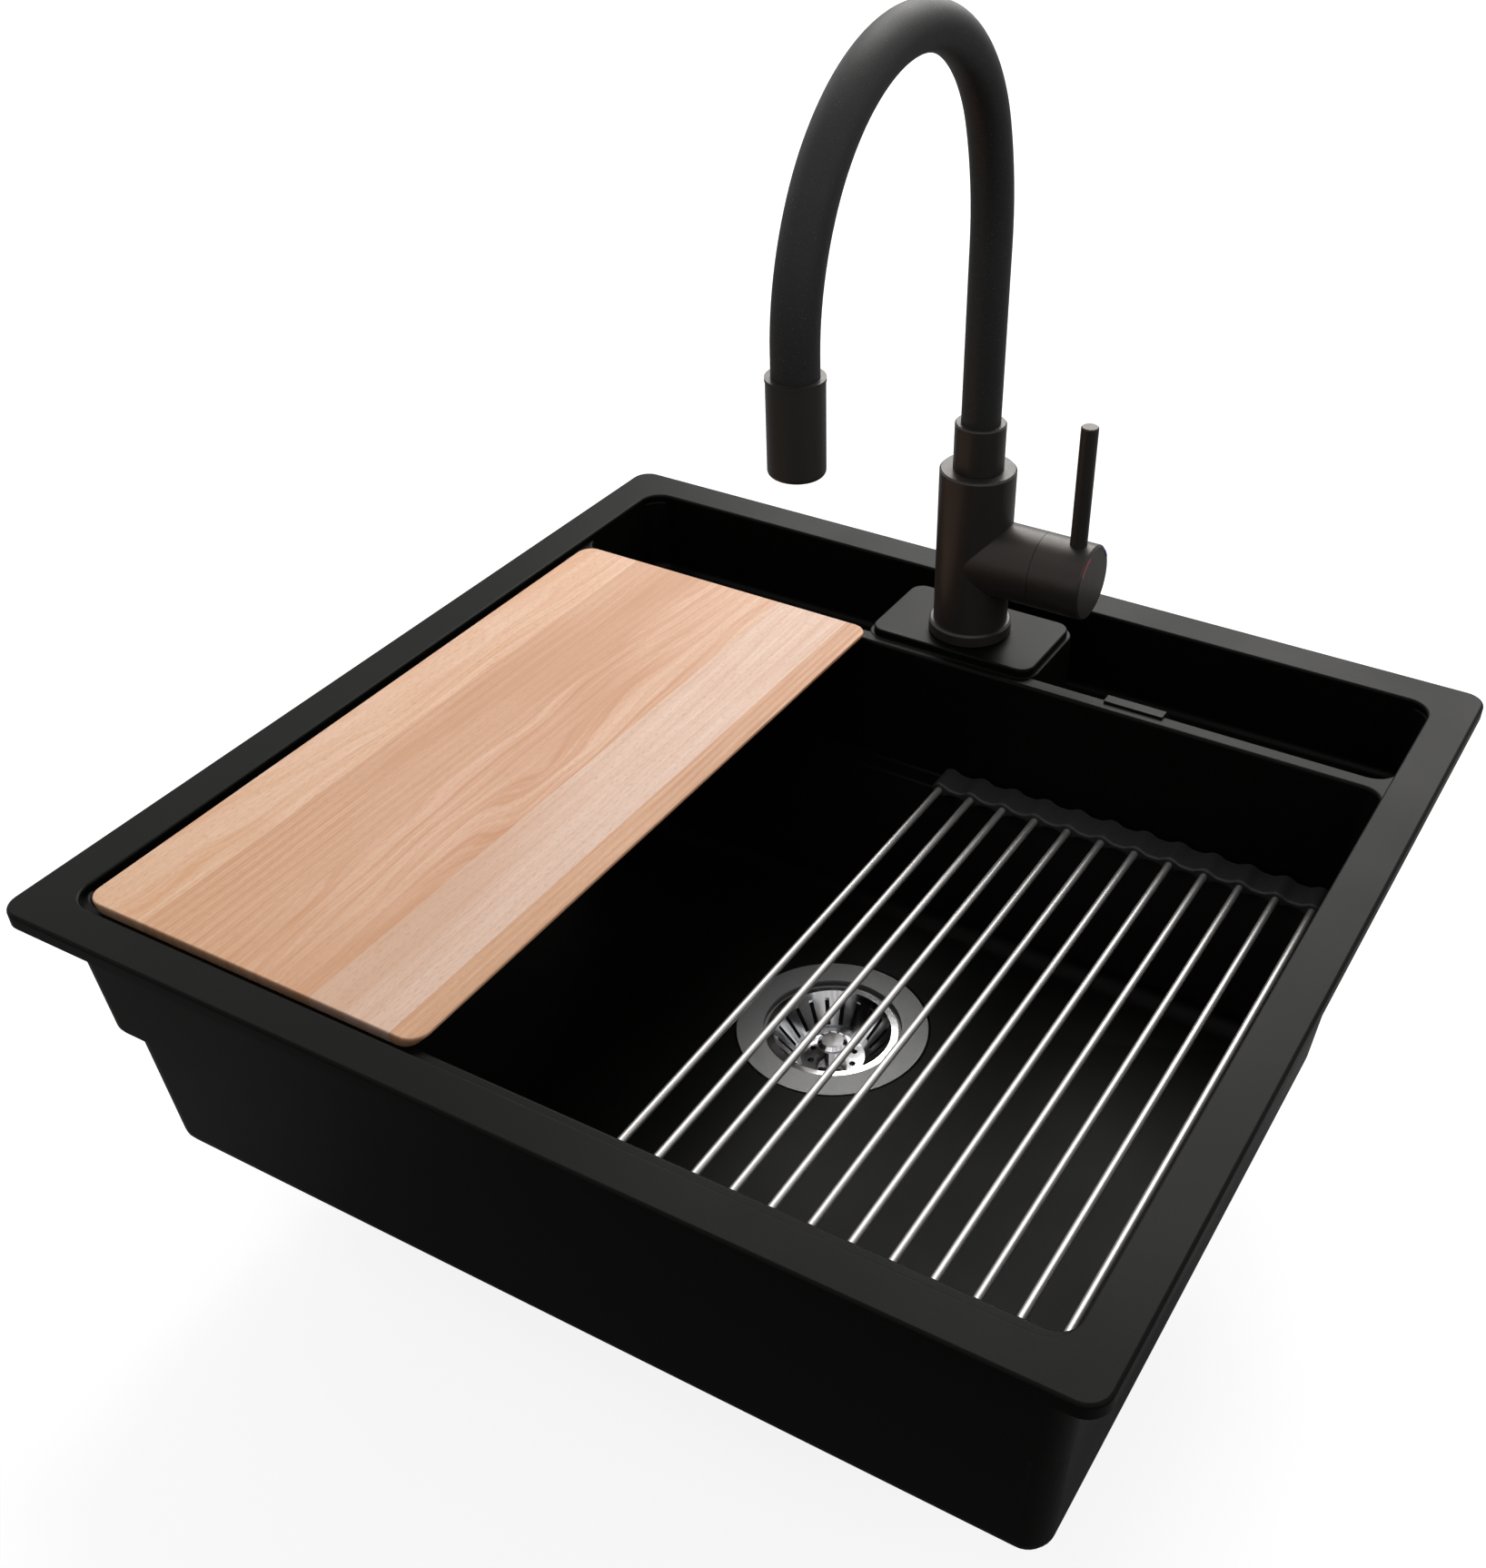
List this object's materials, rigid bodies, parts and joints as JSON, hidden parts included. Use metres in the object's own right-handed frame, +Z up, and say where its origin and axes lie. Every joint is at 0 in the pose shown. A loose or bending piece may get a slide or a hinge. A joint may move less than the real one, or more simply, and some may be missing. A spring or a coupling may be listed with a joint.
{
  "type": "workstation kitchen sink",
  "caption": "Black composite single-bowl kitchen sink with rear tray, flexible-spout mixer tap, sliding beech board, roll-up rod rack and basket waste.",
  "frame": {"origin": "centre of the rim, in the plane of the rim's underside, where the sink hangs in a worktop cut-out", "axes": "+X to the user's right along the front edge, +Y to the back where the tap stands, +Z up"},
  "size_m": [0.59, 0.56, 0.6112],
  "materials": {
    "composite": "fine matt moulded stone composite",
    "rubber": "matt",
    "tap_black": "satin black coating",
    "brass": "plain turned",
    "steel": "plain",
    "cartridge_plastic": "moulded",
    "bush_plastic": "moulded",
    "screw_steel": "plain",
    "red_enamel": "gloss",
    "blue_enamel": "gloss",
    "silicone": "matt silicone skin",
    "hose_plastic": "braided",
    "aerator_plastic": "moulded",
    "brushed_flange": "grained",
    "waste_plastic": "moulded",
    "bright_steel": "bright pressed steel",
    "cover_plastic": "satin moulded",
    "beech": "oiled edge-glued beech",
    "rod_steel": "drawn stainless tube",
    "rack_silicone": "matt silicone"
  },
  "bodies": {
    "sink": {"sink_body": "composite", "tap_base_gasket": "rubber", "tap_foot_ring": "tap_black", "tap_body": "tap_black", "tap_shank": "brass", "fixing_rubber": "rubber", "fixing_washer": "steel", "fixing_nut": "brass", "valve_cartridge": "cartridge_plastic", "cartridge_nut": "brass", "swivel_bush": "bush_plastic", "swivel_o_rings": "rubber", "flange_gasket": "rubber", "strainer_flange": "brushed_flange", "waste_gasket": "rubber", "waste_body": "waste_plastic", "waste_screw": "screw_steel", "overflow_cover": "cover_plastic", "overflow_pipe": "waste_plastic", "overflow_gasket": "rubber", "overflow_nut": "waste_plastic"},
    "cam": {"cartridge_cam": "cartridge_plastic"},
    "handle": {"handle_spindle": "brass", "handle_cap": "tap_black", "handle_screw": "screw_steel", "lever_rod": "tap_black", "hot_mark": "red_enamel", "cold_mark": "blue_enamel"},
    "spout": {"spout_sleeve": "tap_black", "spout_cover": "silicone", "spout_core": "steel", "inner_hose": "hose_plastic", "head_collar": "tap_black", "head_shell": "tap_black", "aerator": "aerator_plastic"},
    "basket": {"basket": "bright_steel", "basket_seal": "rubber", "basket_knob": "bright_steel"},
    "board": {"cutting_board": "beech"},
    "rack": {"rack_rods": "rod_steel", "rack_rear_strip": "rack_silicone", "rack_front_strip": "rack_silicone"}
  },
  "joints": [
    {"name": "mix_turn", "type": "hinge", "parent": "sink", "child": "cam", "pos_m": [0.036, 0.201, 0.06], "axis": [1, 0, 0], "range_deg": [-45, 45]},
    {"name": "flow_tilt", "type": "hinge", "parent": "cam", "child": "handle", "pos_m": [0.0443, 0.201, 0.038], "axis": [0, 1, 0], "range_deg": [0, 14]},
    {"name": "spout_swivel", "type": "hinge", "parent": "sink", "child": "spout", "pos_m": [0, 0.201, 0.1], "axis": [0, 0, 1], "range_deg": [-180, 180]},
    {"name": "basket_lift", "type": "slide", "parent": "sink", "child": "basket", "axis": [0, 0, 1], "range_m": [0, 0.05]},
    {"name": "board_slide", "type": "slide", "parent": "sink", "child": "board", "axis": [1, 0, 0], "range_m": [-0.005, 0.317]},
    {"name": "rack_slide", "type": "slide", "parent": "sink", "child": "rack", "axis": [1, 0, 0], "range_m": [-0.269, 0.004]}
  ]
}
